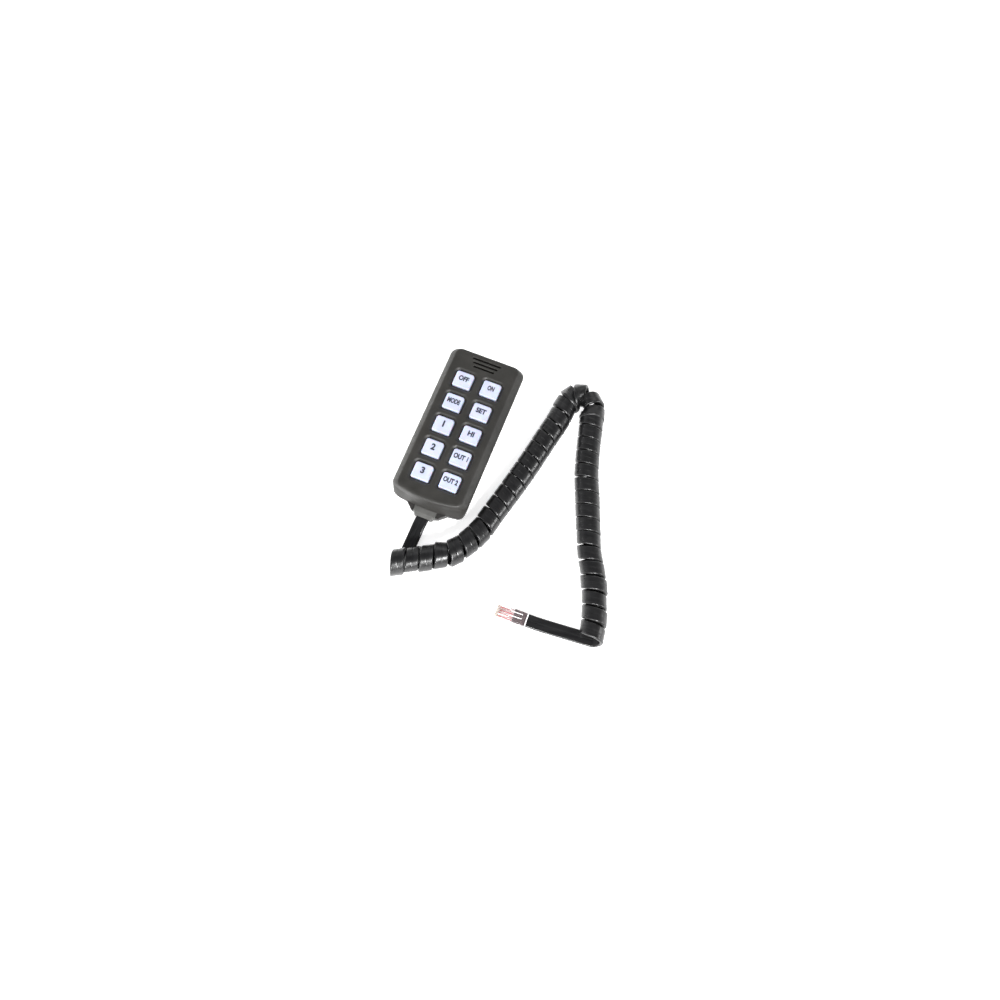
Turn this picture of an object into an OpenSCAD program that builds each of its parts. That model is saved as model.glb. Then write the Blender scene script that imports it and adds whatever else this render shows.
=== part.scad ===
// Hand controller: a ten-key handset with a microphone, a coiled flat lead and a modular plug.
// Millimetres. The origin is the centre of the case's back, on the surface that it lies on.
// +X runs right across the keys, +Y towards the microphone end, +Z out of the key face.

/* [Case] */
// Length of the case
case_l = 114; // [108:1:140]
// Width of the case at its widest line
case_w = 54.5; // [53:0.5:66]
// Thickness of the case from its back to the key face
case_t = 22; // [21.5:0.5:28]
// Height of the parting line above the back
parting_z = 9; // [8.5:0.5:10]
// Wall thickness of both shells
wall = 2.2; // [1.8:0.1:2.6]
// Thickness of the key face
face_t = 3.6; // [3.2:0.1:4]
// Width of the sloped shoulder along each long side
shoulder_w = 5.4; // [4:0.1:6]
// Height of the sloped shoulder
shoulder_h = 5; // [4:0.1:6]
// Radius of the bowed lead end at the face
bow_r = 80; // [70:5:200]
// Radius of the bowed lead end at the parting line and below
base_bow_r = 130; // [80:5:250]
// Depth of the reveal along the parting line
reveal = 0.4; // [0.2:0.1:0.8]

/* [Keys] */
// Distance between the two columns of keys
key_pitch_x = 20; // [19:0.5:24]
// Distance between rows of keys
key_pitch_y = 17.8; // [17:0.1:20]
// Width of a key cap
key_w = 12.6; // [9:0.1:13]
// Length of a key cap
key_l = 11.4; // [9:0.1:11.8]
// Corner radius of a key cap
key_r = 1.6; // [0.5:0.1:3]
// How far a key stands above the key face
key_proud = 0.4; // [0.2:0.1:1.2]
// Travel of a key
key_travel = 0.6; // [0.3:0.1:0.8]
// Distance from the middle of the case back to the middle of the keys
keys_down = 1.2; // [0:0.1:3]
// Gap all round a key in its hole
key_gap = 0.3; // [0.25:0.05:0.6]
// Thickness of the flange that holds a key in
flange_t = 1; // [0.8:0.1:1.4]
// How far the flange reaches past the key
flange_out = 0.8; // [0.6:0.1:1]
// Width of the pocket's sloped rim round each key
pocket_rim = 2.1; // [1.5:0.1:2.4]
// Depth of the pocket
pocket_d = 1.6; // [1:0.1:2]

/* [Microphone] */
// Number of grille slots
slot_count = 3; // [2:1:4]
// Length of the slot nearest the end
slot_l = 21; // [16:0.5:26]
// How much shorter each next slot is
slot_step = 2.8; // [0:0.1:4]
// Width of a slot
slot_w = 1.3; // [0.8:0.1:1.6]
// Distance between slots
slot_pitch = 2.85; // [2.5:0.05:3.5]
// Distance of the first slot from the case end
slot_inset = 4.5; // [4:0.1:6]
// Diameter of the microphone capsule
mic_d = 9.7; // [6:0.1:9.8]
// Height of the microphone capsule
mic_h = 5.8; // [4:0.1:6]
// Wall of the rubber boot round the capsule
boot_wall = 1.2; // [1:0.1:1.5]

/* [Board] */
// Width of the circuit board
board_w = 44; // [42:0.5:45]
// Length of the main part of the board
board_l = 88; // [86:0.5:90]
// Thickness of the board
board_t = 1.6; // [1:0.1:2]
// Side of a switch body
switch_w = 6; // [5:0.5:7]
// Height of a switch body
switch_h = 3.5; // [3:0.1:4]
// Diameter of a switch plunger
plunger_d = 3.4; // [2.5:0.1:3.6]
// How far a plunger stands out of its switch
plunger_out = 1.5; // [1.2:0.1:2]
// Length of the hub under a key flange
hub_h = 1.6; // [1:0.1:2]

/* [Screws] */
// Distance of each case screw from the centre line
screw_x = 17; // [15:0.5:18]
// Distance of each case screw from the case end
screw_inset = 8.5; // [7.5:0.5:9]
// Shank diameter of a case screw
screw_d = 2.9; // [2.5:0.1:3.2]
// Head diameter of a case screw
screw_head_d = 5.4; // [4.5:0.1:5.6]
// Depth of the counterbore for a case screw
counterbore = 3; // [2.5:0.1:4]
// Shank diameter of a board screw
board_screw_d = 2.2; // [1.8:0.1:2.4]

/* [Lead] */
// Width of the flat lead
lead_w = 9; // [8:0.1:9.4]
// Thickness of the flat lead
lead_t = 2.5; // [2:0.1:2.8]
// Outer diameter of the curled stretch
coil_d = 16.4; // [14:0.2:18]
// Width of the strain relief
relief_w = 16.6; // [13:0.2:17]
// Height of the strain relief
relief_h = 7; // [6:0.1:7.4]
// How far the strain relief stands out of the case
relief_out = 5.8; // [4:0.1:10]

/* [Plug] */
// Width of the modular plug
plug_w = 11.68; // [9:0.01:12]
// Length of the modular plug
plug_l = 21.46; // [18:0.01:24]
// Height of the plug body
plug_h = 6.6; // [6:0.1:7]
// Number of contacts
contact_count = 8; // [4:2:8]
// Distance between contacts
contact_pitch = 1.02; // [1:0.01:1.1]
// Angle of the latch above the plug when it is free
latch_angle = 11; // [8:1:14]

/* [Hidden] */
$fn = 48;
fit = 0.1;        // gap each side of a still piece in its seat
bite = 0.5;       // depth that joined shapes of one solid share
sheet = 0.01;     // thickness of one level of a hull

KEY_NAMES = ["off", "pa", "tone", "manual", "one", "air_horn", "two", "aux_one", "three", "aux_two"];
KEYS = [for (i = [0:len(KEY_NAMES) - 1]) i];
function key_x(i) = (i % 2 - 0.5) * key_pitch_x;
function key_y(i) = (2 - floor(i / 2)) * key_pitch_y - keys_down;

// Heights above the back
ceiling_z = case_t - face_t;
pocket_z = case_t - pocket_d;
key_top_z = case_t + key_proud;
flange_top_z = ceiling_z - 0.2;
hub_z = flange_top_z - flange_t - hub_h;
switch_top_z = hub_z - plunger_out;
board_top_z = switch_top_z - switch_h;
board_z = board_top_z - board_t;
plunger_in = key_travel + 1.4;

// Places of the fasteners, the microphone and the lead
end_y = case_l / 2;
screw_y = end_y - screw_inset;
board_screw_x = board_w / 2 - 2.8;
board_screw_y = 1.5 * key_pitch_y;
boss_d = 6.4;
post_d = 7;
board_boss_d = 4.6;
head_h = 2.2;
screw_end_z = ceiling_z - 3.4;
mic_y = end_y - wall - fit - boot_d() / 2 - 0.3;
function boot_d() = mic_d + 2 * fit + 2 * boot_wall;
relief_z = parting_z - relief_h / 2;
relief_low_z = parting_z - relief_h;
relief_neck_w = relief_w - 3.8;
relief_neck_z = relief_low_z + 1;
relief_flange_y = -end_y + wall + 1.1;
relief_flange_t = 1.8;
relief_tip_y = -end_y - relief_out;
header_h = 5;
header_y = -board_l / 2 + 4.6;
led_w = 1.6;

// Insets and corner radius of the case at its parting line
side_draft = 1.2;
end_draft = 0.4;
parting_r = 4.8;

// The case at each height: [height, side inset, mic-end inset, lead-end inset, corner radius, bow radius].
CASE_LEVELS = [
    [0, 4.4, 3, 2.8, 3.8, base_bow_r],
    [0.8, 3.3, 1.9, 1.7, 4.1, base_bow_r],
    [2.4, 2.4, 1.1, 0.8, 4.4, base_bow_r],
    [parting_z, side_draft, end_draft, 0, parting_r, base_bow_r],
    [case_t - shoulder_h - 0.4, 0, 0, 1.9, parting_r, bow_r],
    [case_t - shoulder_h + 0.6, 0.3, 0, 2.1, parting_r, bow_r],
    [case_t - 0.9, shoulder_w - 1.5, 0.5, 3, 4.4, bow_r],
    [case_t - 0.3, shoulder_w - 0.7, 1, 3.6, 4.1, bow_r],
    [case_t, shoulder_w, 1.7, 4.4, 3.8, bow_r]];

// ---- Shared shapes ----

// Points of an arc about a centre
function arc(c, r, from, to, steps) =
    [for (k = [0:steps]) let (a = from + (to - from) * k / steps) c + r * [cos(a), sin(a)]];

// Outline of a rectangle with round corners, about the origin
function round_rect(w, l, r) = concat(
    arc([w / 2 - r, l / 2 - r], r, 0, 90, 6), arc([r - w / 2, l / 2 - r], r, 90, 180, 6),
    arc([r - w / 2, r - l / 2], r, 180, 270, 6), arc([w / 2 - r, r - l / 2], r, 270, 360, 6));

// Outline of the case with a bowed bottom end: half width, mic end, lead end, corner radius, bow radius
function case_outline(hw, y_mic, y_lead, r, bow) =
    let (bow_y = y_lead + bow,
         corner_y = bow_y - sqrt(pow(bow - r, 2) - pow(hw - r, 2)),
         a = atan2(corner_y - bow_y, hw - r))
    concat(
        arc([hw - r, y_mic - r], r, 0, 90, 6), arc([r - hw, y_mic - r], r, 90, 180, 6),
        arc([r - hw, corner_y], r, 180, 180 - a, 6), trimmed(arc([0, bow_y], bow, -180 - a, a, 12)),
        arc([hw - r, corner_y], r, a, 0, 6));

// A list without its first and last items
function trimmed(v) = [for (k = [1:len(v) - 2]) v[k]];

// A closed solid through a list of rings that have the same number of points
module skin(rings) {
    n = len(rings[0]);
    sides = [for (i = [0:len(rings) - 2], k = [0:n - 1])
        let (a = i * n + k, b = i * n + (k + 1) % n) each [[a, b, b + n], [a, b + n, a + n]]];
    first = [for (k = [n - 1:-1:0]) k];
    last = [for (k = [0:n - 1]) (len(rings) - 1) * n + k];
    polyhedron([for (r = rings) each r], concat([first], sides, [last]), convexity = 6);
}

// The case's outline at one height, drawn in by a distance
function case_ring(z, inset) =
    let (v = [for (c = [1:5]) lookup(z, [for (level = CASE_LEVELS) [level[0], level[c]]])])
    [for (p = case_outline(case_w / 2 - v[0] - inset, end_y - v[1] - inset,
                           -end_y + v[2] + inset, max(v[3] - inset, 2), v[4])) [p[0], p[1], z]];

// The case between two heights, drawn in by a distance
module case_form(z0, z1, inset) {
    between = [for (level = CASE_LEVELS) if (level[0] > z0 && level[0] < z1 && level[0] != parting_z) level[0]];
    skin([for (z = concat([z1], [for (k = [len(between) - 1:-1:0]) between[k]], [z0])) case_ring(z, inset)]);
}

// Everything between two heights
module layer(z0, z1) {
    translate([-case_w, -case_l, z0]) cube([2 * case_w, 2 * case_l, z1 - z0]);
}

// A plate with round corners
module plate(w, l, r, h) { linear_extrude(h) polygon(round_rect(w, l, r)); }

// A plate whose sides slope out by a distance on the way up, or in if it is negative
module flared(w, l, r, h, out) {
    linear_extrude(h, scale = [1 + 2 * out / w, 1 + 2 * out / l], slices = 1) polygon(round_rect(w, l, r));
}

// A box centred on X and Y
module block(w, l, h) { translate([-w / 2, -l / 2, 0]) cube([w, l, h]); }

// A straight round rod between two points
module rod(a, b, d) {
    v = b - a;
    translate(a) rotate([0, acos(v[2] / norm(v)), atan2(v[1], v[0])]) cylinder(d = d, h = norm(v), $fn = 16);
}

// Its children at the four corners of a rectangle
module at_corners(x, y) { for (sx = [-1, 1], sy = [-1, 1]) translate([sx * x, sy * y, 0]) children(); }

module at_keys() { for (i = KEYS) translate([key_x(i), key_y(i), 0]) children(); }

// ---- Shells ----

// Seat for the strain relief, open at the parting line
module relief_seat() {
    translate([0, -end_y - 10 + bite, relief_low_z - fit]) block(relief_w + 2 * fit, 20, relief_h + 1);
    translate([0, -end_y + wall / 2, relief_neck_z - fit]) block(relief_neck_w + 2 * fit, 3 * wall, relief_h);
}

module front_shell() {
    color([0.21, 0.205, 0.2]) difference() {
        union() {
            difference() {
                case_form(parting_z, case_t, 0);
                case_form(parting_z - 1, ceiling_z, wall);
                difference() {
                    layer(parting_z - 1, parting_z + reveal);
                    linear_extrude(case_t)
                        polygon(case_outline(case_w / 2 - side_draft - reveal, end_y - end_draft - reveal,
                                             -end_y + reveal, parting_r, base_bow_r));
                }
            }
            at_corners(screw_x, screw_y)
                translate([0, 0, parting_z]) cylinder(d = boss_d, h = ceiling_z + bite - parting_z);
            translate([0, -keys_down, 0]) at_corners(board_screw_x, board_screw_y)
                translate([0, 0, board_top_z]) cylinder(d = board_boss_d, h = ceiling_z + bite - board_top_z);
        }
        at_keys() {
            translate([0, 0, pocket_z])
                flared(key_w + 2 * key_gap, key_l + 2 * key_gap, key_r + key_gap, pocket_d + sheet, pocket_rim);
            translate([0, 0, ceiling_z - 1])
                plate(key_w + 2 * key_gap, key_l + 2 * key_gap, key_r + key_gap, face_t);
        }
        for (k = [0:slot_count - 1])
            translate([0, end_y - slot_inset - k * slot_pitch, ceiling_z - 1])
                plate(slot_l - k * slot_step, slot_w, slot_w / 2 - sheet, face_t + 2);
        at_corners(screw_x, screw_y)
            translate([0, 0, parting_z - 1]) cylinder(d = screw_d + fit, h = screw_end_z + fit - parting_z + 1);
        translate([0, -keys_down, 0]) at_corners(board_screw_x, board_screw_y)
            translate([0, 0, board_top_z - 1]) cylinder(d = board_screw_d + fit, h = 6.2);
    }
}

module rear_shell() {
    color([0.2, 0.195, 0.19]) difference() {
        union() {
            difference() {
                union() {
                    case_form(0, parting_z, 0);
                    relief_collar();
                }
                case_form(wall, parting_z + 1, wall);
            }
            at_corners(screw_x, screw_y) cylinder(d = post_d, h = parting_z);
        }
        relief_seat();
        at_corners(screw_x, screw_y) {
            translate([0, 0, -1]) cylinder(d = screw_head_d + 0.8, h = counterbore + 1);
            cylinder(d = screw_d + 0.4, h = parting_z + 1);
        }
        translate([0, -keys_down, -1]) plate(label_w + 2 * fit, label_l + 2 * fit, 2 + fit, 1 + label_t);
    }
}

// Collar of the rear shell that cradles the strain relief
collar_out = 3.4;
module relief_collar() {
    hull() {
        translate([0, -end_y + 2.5, 1]) block(relief_w + 14, sheet, parting_z - 1);
        translate([0, -end_y - collar_out, 2]) block(relief_w + 3, sheet, parting_z - 2);
    }
}

// Blank label set in the back
label_w = 32;
label_l = 46;
label_t = 0.4;
module rear_label() {
    color([0.72, 0.73, 0.75])
        translate([0, -keys_down, 0]) plate(label_w, label_l, 2, label_t);
}

// ---- Keys and switches ----

module key_cap(i) {
    edge = 0.5;
    color([0.85, 0.87, 0.95]) translate([key_x(i), key_y(i), 0]) {
        translate([0, 0, flange_top_z - bite]) plate(key_w, key_l, key_r, key_top_z - edge - flange_top_z + bite);
        translate([0, 0, key_top_z - edge]) flared(key_w, key_l, key_r, edge, -edge);
        translate([0, 0, flange_top_z - flange_t])
            plate(key_w + 2 * flange_out, key_l + 2 * flange_out, key_r, flange_t);
        translate([0, 0, hub_z]) cylinder(d = plunger_d + 1.2, h = hub_h + bite);
    }
}

module plunger(i) {
    color([0.15, 0.15, 0.16]) translate([key_x(i), key_y(i), hub_z - plunger_out - plunger_in])
        cylinder(d = plunger_d, h = plunger_out + plunger_in);
}

module tact_switches() {
    leg = [1.1, 0.7, 0.3];
    color([0.12, 0.12, 0.13]) at_keys() {
        difference() {
            translate([0, 0, board_top_z + fit]) block(switch_w, switch_w, switch_h - fit);
            translate([0, 0, switch_top_z - plunger_in - key_travel - 0.2])
                cylinder(d = plunger_d + 0.6, h = 10);
        }
        at_corners(switch_w / 2 + leg[0] / 2 - 0.2, switch_w / 2 - 0.8)
            translate([0, 0, board_top_z]) block(leg[0], leg[1], leg[2]);
    }
}

// ---- Board and what it carries ----

module circuit_board() {
    color([0.05, 0.3, 0.14]) difference() {
        translate([0, 0, board_z]) linear_extrude(board_t) union() {
            polygon(round_rect(board_w, board_l, 1.5));
            translate([-board_tongue_w() / 2, 0])
                square([board_tongue_w(), mic_y + boot_d() / 2 - end_draft]);
        }
        translate([0, -keys_down, board_z - 1]) at_corners(board_screw_x, board_screw_y)
            cylinder(d = board_screw_d + 0.4, h = board_t + 2);
    }
}
function board_tongue_w() = 2 * (screw_x - boss_d / 2 - 1);

// One small light beside each switch
module backlight_leds() {
    color([0.95, 0.93, 0.8]) at_keys() translate([0, -switch_w / 2 - 1.2, board_top_z]) {
        block(led_w, led_w / 2, 0.4);
        translate([0, 0, 0.3]) block(led_w * 0.7, led_w / 2, 0.4);
    }
}

module controller_chip() {
    chip = [7.5, 17.9, 2.2];
    leg_pitch = 1.27;
    color([0.08, 0.08, 0.09]) {
        translate([0, 4, board_z - 0.1 - chip[2]]) block(chip[0], chip[1], chip[2]);
        for (k = [-6.5:1:6.5], s = [-1, 1])
            translate([s * (chip[0] / 2 + 0.6), 4 + k * leg_pitch, board_z - 0.9]) block(1.6, 0.4, 0.9);
    }
}

// Capacitors, a regulator, a clock crystal and a row of resistors under the board
module small_components() {
    color([0.35, 0.3, 0.25]) {
        for (x = [-14, 14]) translate([x, 24, board_z - 4.6]) cylinder(d = 5, h = 4.6);
        translate([-13, -8, board_z - 2.3]) block(6.5, 6, 2.3);
        translate([12, -6, board_z - 3]) block(4.5, 10.5, 3);
        for (k = [0:5]) translate([-15 + 6 * k, -26, board_z - 0.6]) block(1.2, 2, 0.6);
    }
}

module mic_capsule() {
    color([0.75, 0.75, 0.77]) translate([0, mic_y, 0]) {
        translate([0, 0, board_top_z + 0.6]) cylinder(d = mic_d, h = mic_h);
        for (x = [-1.3, 1.3]) translate([x, 0, board_top_z]) cylinder(d = 0.7, h = 0.6 + bite, $fn = 16);
    }
}

// Rubber boot round the capsule, between the board and the dust screen
module mic_boot() {
    color([0.1, 0.1, 0.1]) translate([0, mic_y, board_top_z]) difference() {
        cylinder(d = boot_d(), h = ceiling_z - screen_t - board_top_z);
        translate([0, 0, -1]) cylinder(d = mic_d + 2 * fit, h = case_t);
    }
}

// Dust screen behind the grille slots
screen_t = 0.5;
module dust_screen() {
    color([0.07, 0.07, 0.08])
        translate([0, end_y - slot_inset - slot_pitch * (slot_count - 1) / 2, ceiling_z - screen_t])
            plate(slot_l + 3, slot_pitch * slot_count + 1, 1, screen_t);
}

header_w = 20;
module board_header() {
    color([0.9, 0.88, 0.8]) {
        translate([0, header_y, board_z - header_h]) block(header_w, 5, header_h);
        for (k = [-3.5:1:3.5]) translate([2 * k, header_y - 3.5, board_z - header_h / 2 - 0.3])
            block(0.6, 3, 0.6);
    }
}

connector_l = 5;
module lead_connector() {
    color([0.92, 0.92, 0.9]) translate([0, header_y - 2.5 - fit - connector_l / 2, board_z - header_h + 0.4])
        difference() {
            block(header_w - 2, connector_l, header_h - 0.8);
            for (k = [-3.5:1:3.5]) translate([2 * k, connector_l / 2 - 1.5, header_h / 2 - 0.9])
                block(0.9, 5.2, 1);
        }
}

// Eight conductors from the lead's end to the connector
module inner_wires() {
    from_y = LEAD_PTS[0][1] + 0.5;
    to_y = header_y - 2.5 - fit - connector_l;
    color([0.7, 0.2, 0.2]) difference() {
        for (k = [-3.5:1:3.5]) rod([k * 1.05, from_y, relief_z], [k * 2, to_y + 0.5, board_z - header_h / 2], 0.9);
        translate([-header_w, to_y, 0]) cube([2 * header_w, 3, case_t]);
    }
}

// ---- Lead ----

// Strain relief: a block outside the wall, a neck through it and a flange inside it
module relief_block() {
    hull() {
        translate([0, -end_y + bite - sheet / 2, relief_low_z]) block(relief_w, sheet, relief_h);
        translate([0, relief_tip_y + 1.6, relief_low_z]) block(relief_w - 0.4, sheet, relief_h);
        translate([0, relief_tip_y + sheet, relief_low_z + 1.2]) block(relief_w - 3, sheet, relief_h - 2.4);
    }
}
module strain_relief() {
    color([0.34, 0.32, 0.31]) difference() {
        union() {
            relief_block();
            translate([-relief_neck_w / 2, -end_y, relief_neck_z])
                cube([relief_neck_w, relief_flange_y + bite + end_y, relief_h - 1]);
            translate([0, relief_flange_y + relief_flange_t / 2, relief_low_z + 0.9])
                block(relief_w - 1, relief_flange_t, relief_h - 1.4);
        }
        translate([0, -end_y, relief_z - lead_t / 2 - 0.2]) block(lead_w + 0.4, 30, lead_t + 0.4);
    }
}

module case_screws() {
    color([0.65, 0.65, 0.67]) at_corners(screw_x, screw_y) {
        translate([0, 0, counterbore - head_h]) difference() {
            cylinder(d = screw_head_d, h = head_h);
            for (a = [0, 90]) translate([0, 0, -1]) rotate(a) block(3, 0.7, 2.1);
        }
        translate([0, 0, counterbore - bite]) cylinder(d = screw_d, h = screw_end_z - counterbore + bite);
    }
}

module board_screws() {
    color([0.7, 0.7, 0.72]) translate([0, -keys_down, 0]) at_corners(board_screw_x, board_screw_y) {
        translate([0, 0, board_z - 1.4]) cylinder(d = 4.2, h = 1.4);
        translate([0, 0, board_z - bite]) cylinder(d = board_screw_d, h = board_t + 5 + bite);
    }
}

// Points down the middle of the flat lead, from the case to the curled stretch
LEAD_PTS = [[0, -51.5, 5.5], [0, -59, 5.5], [-0.4, -64, 5.2], [-0.9, -69, 4], [-1.2, -74, 2.4],
    [-1.4, -79, 1.5], [-1.5, -84, 1.3], [-1.5, -89, 1.3]];

// Points along the axis of the curled stretch
COIL_PTS = [[-6.5, -98.9], [4.2, -92.6], [15, -86.2], [22.2, -82.2], [28.3, -76.6], [34.3, -68], [38.7, -59],
    [43.1, -42], [48.2, -21], [52.8, 0], [56.5, 19.8], [59.8, 37.6], [60.8, 48.5], [62.4, 55.1], [66.5, 58.7],
    [71.5, 59.7], [76.3, 57.2], [79.7, 51.6], [81, 45.6], [83, 38], [87, 22], [92, 5.5], [98.3, -9.9],
    [104.6, -25.7], [108.1, -34.2], [111.4, -42.3], [115.6, -50], [119.7, -57.4], [123, -64.8],
    [126.2, -72.8], [129, -80.9], [131.2, -88.9], [132.8, -97.1]];

// Points down the middle of the flat lead, from the curled stretch into the plug
TAIL_PTS = [[130, -96.9, 1.3], [120, -97.8, 1.3], [110, -98.7, 1.3], [101, -99.5, 1.4], [95, -100, 2.2],
    [90, -100.3, 3], [86, -100.4, 3.1], [80.5, -100.6, 3.1]];

function unit(v) = v / norm(v);
function heading(pts, i) = unit(pts[min(i + 1, len(pts) - 1)] - pts[max(i - 1, 0)]);

// One ring across a route: side is level, up is square to the route
function ring(p, t, section) =
    let (side = unit(cross(t, [0, 0, 1])), up = cross(side, t)) [for (q = section) p + q[0] * side + q[1] * up];

// A closed solid of one section carried along a route
module sweep(pts, section) {
    skin([for (i = [0:len(pts) - 1]) ring(pts[i], heading(pts, i), section)]);
}

// Section of the flat lead: a flat bar with cut corners
function lead_section(c = 0.8) = [[lead_w / 2, -lead_t / 2 + c], [lead_w / 2, lead_t / 2 - c],
    [lead_w / 2 - c, lead_t / 2], [c - lead_w / 2, lead_t / 2], [-lead_w / 2, lead_t / 2 - c],
    [-lead_w / 2, c - lead_t / 2], [c - lead_w / 2, -lead_t / 2], [lead_w / 2 - c, -lead_t / 2]];

module cord_lead() { color([0.05, 0.05, 0.055]) sweep(LEAD_PTS, lead_section()); }

module cord_coil() {
    color([0.05, 0.05, 0.055]) sweep([for (p = COIL_PTS) [p[0], p[1], coil_d / 2]], arc([0, 0], coil_d / 2, 0, 330, 11));
}

module cord_tail() { color([0.05, 0.05, 0.055]) sweep(TAIL_PTS, lead_section()); }

// ---- Plug ----

// The plug's own axes: x from its cable end to its contacts, z up through the latch
plug_pos = [90, -100.3, 0];
plug_yaw = 182;
module at_plug() { translate(plug_pos) rotate(plug_yaw) children(); }

jacket_l = 10;       // depth of the jacket's seat
cable_z = 3.1;       // height of the lead's middle in the plug
wire_h = 1.5;        // height of the conductor chamber
contact_l = 3.6;     // length of a contact blade
latch_w = 6;         // width of the latch at its root
latch_t = 1.1;       // thickness of the latch
latch_l = 16.4;      // length of the latch
latch_x = plug_l - 2;
latch_z = plug_h + 0.3 + latch_t / 2;

module plug_body() {
    color([0.85, 0.83, 0.84, 0.4]) at_plug() difference() {
        union() {
            translate([0, -plug_w / 2, 0]) cube([plug_l, plug_w, plug_h - 1]);
            translate([1.2, -plug_w / 2 + 0.8, 0]) cube([plug_l - 1.2, plug_w - 1.6, plug_h]);
            translate([latch_x + latch_t / 2 + 0.3, -latch_w / 2, plug_h - bite])
                cube([plug_l - latch_x - latch_t / 2 - 0.6, latch_w, latch_t + bite]);
        }
        translate([-1, -lead_w / 2 - 0.3, cable_z - lead_t / 2 - 0.3])
            cube([jacket_l + 1, lead_w + 0.6, lead_t + 0.6]);
        translate([jacket_l - bite, -contact_count * contact_pitch / 2 - 0.1, cable_z - wire_h / 2])
            cube([plug_l - jacket_l - 2 + bite, contact_count * contact_pitch + 0.2, wire_h]);
        translate([plug_l - contact_l - 0.6, -contact_count * contact_pitch / 2 - 0.1, -1])
            cube([contact_l + 2, contact_count * contact_pitch + 0.2, 2.2]);
        translate([3, -2.5, plug_h - 1.4]) cube([6, 5, 2]);
    }
}

module plug_latch() {
    tip_w = 3.3;
    color([0.85, 0.83, 0.84, 0.4]) at_plug()
        translate([latch_x, 0, latch_z]) rotate([0, latch_angle, 0]) {
            rotate([90, 0, 0]) translate([0, 0, -latch_w / 2]) cylinder(d = latch_t, h = latch_w, $fn = 24);
            translate([-latch_l * 0.45, -latch_w / 2, -latch_t / 2]) cube([latch_l * 0.45, latch_w, latch_t]);
            translate([-latch_l, -tip_w / 2, -latch_t / 2]) cube([latch_l * 0.6, tip_w, latch_t]);
        }
}

module plug_contacts() {
    blade_t = 0.35;
    color([0.9, 0.72, 0.3]) at_plug() for (k = [0:contact_count - 1])
        translate([plug_l - contact_l - 0.3, (k - (contact_count - 1) / 2) * contact_pitch - blade_t / 2, 0.2])
            cube([contact_l, blade_t, 1]);
}

module plug_wires() {
    color([0.75, 0.3, 0.35]) at_plug() for (k = [0:contact_count - 1])
        rod([jacket_l - 0.4, (k - (contact_count - 1) / 2) * contact_pitch, cable_z],
            [plug_l - 3, (k - (contact_count - 1) / 2) * contact_pitch, cable_z], 0.9);
}

front_shell();
rear_shell();
for (i = KEYS) key_cap(i);
for (i = KEYS) plunger(i);
tact_switches();
circuit_board();
backlight_leds();
controller_chip();
small_components();
mic_capsule();
mic_boot();
dust_screen();
board_header();
lead_connector();
inner_wires();
strain_relief();
case_screws();
board_screws();
rear_label();
cord_lead();
cord_coil();
cord_tail();
plug_body();
plug_latch();
plug_contacts();
plug_wires();
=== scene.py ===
import math

import bmesh
import bpy
import numpy as np
from mathutils import Matrix, Vector, noise


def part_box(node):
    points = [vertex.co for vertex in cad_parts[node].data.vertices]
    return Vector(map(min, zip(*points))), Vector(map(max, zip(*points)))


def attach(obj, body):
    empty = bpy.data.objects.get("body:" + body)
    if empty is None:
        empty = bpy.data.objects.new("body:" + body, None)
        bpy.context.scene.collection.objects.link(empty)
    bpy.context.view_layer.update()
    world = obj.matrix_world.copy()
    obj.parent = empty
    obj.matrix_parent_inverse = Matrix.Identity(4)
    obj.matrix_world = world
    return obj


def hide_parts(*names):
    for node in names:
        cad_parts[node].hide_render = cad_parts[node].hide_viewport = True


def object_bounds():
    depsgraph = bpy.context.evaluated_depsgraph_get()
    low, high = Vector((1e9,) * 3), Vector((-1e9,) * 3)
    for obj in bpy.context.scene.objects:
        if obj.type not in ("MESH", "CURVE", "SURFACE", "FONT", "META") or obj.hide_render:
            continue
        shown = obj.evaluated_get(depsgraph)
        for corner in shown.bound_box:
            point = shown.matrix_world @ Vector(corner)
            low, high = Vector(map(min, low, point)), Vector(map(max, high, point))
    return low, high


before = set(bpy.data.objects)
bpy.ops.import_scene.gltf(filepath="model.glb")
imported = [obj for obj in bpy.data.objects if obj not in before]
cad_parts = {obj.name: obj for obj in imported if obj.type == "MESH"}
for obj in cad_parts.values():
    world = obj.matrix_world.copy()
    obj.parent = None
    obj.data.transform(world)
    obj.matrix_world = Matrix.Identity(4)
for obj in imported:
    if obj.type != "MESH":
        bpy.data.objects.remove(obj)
cad_low, cad_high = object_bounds()

mm = 0.001
TURN = 2 * math.pi
KEY_NAMES = ["off", "pa", "tone", "manual", "one", "air_horn", "two", "aux_one", "three", "aux_two"]
# Generic legends, one for each key
LEGENDS = dict(off="OFF", pa="ON", tone="MODE", manual="SET", one="1", air_horn="HI", two="2",
               aux_one="OUT 1", three="3", aux_two="OUT 2")


# ---- Camera ----

CAM_TARGET = Vector((0.0428, -0.0299, 0))   # where its axis meets the floor
CAM_DISTANCE = 0.5816
CAM_AZIMUTH = math.radians(21.84)
CAM_ELEVATION = math.radians(73.5)
CAM_LENS = 30.6


def make_camera():
    """The camera, which looks down its azimuth and elevation at the target."""
    look = Vector((-math.sin(CAM_AZIMUTH) * math.cos(CAM_ELEVATION),
                   math.cos(CAM_AZIMUTH) * math.cos(CAM_ELEVATION), -math.sin(CAM_ELEVATION)))
    camera = bpy.data.objects.new("camera", bpy.data.cameras.new("camera"))
    camera.data.lens = CAM_LENS
    camera.data.clip_start = 0.01
    camera.location = CAM_TARGET - look * CAM_DISTANCE
    camera.rotation_euler = look.to_track_quat("-Z", "Y").to_euler()
    bpy.context.scene.collection.objects.link(camera)
    bpy.context.scene.camera = camera


# ---- Materials ----

def node(tree, kind, **values):
    """A shader node with its inputs set by name."""
    made = tree.nodes.new(kind)
    for name, value in values.items():
        made.inputs[name.replace("_", " ")].default_value = value
    return made


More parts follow.
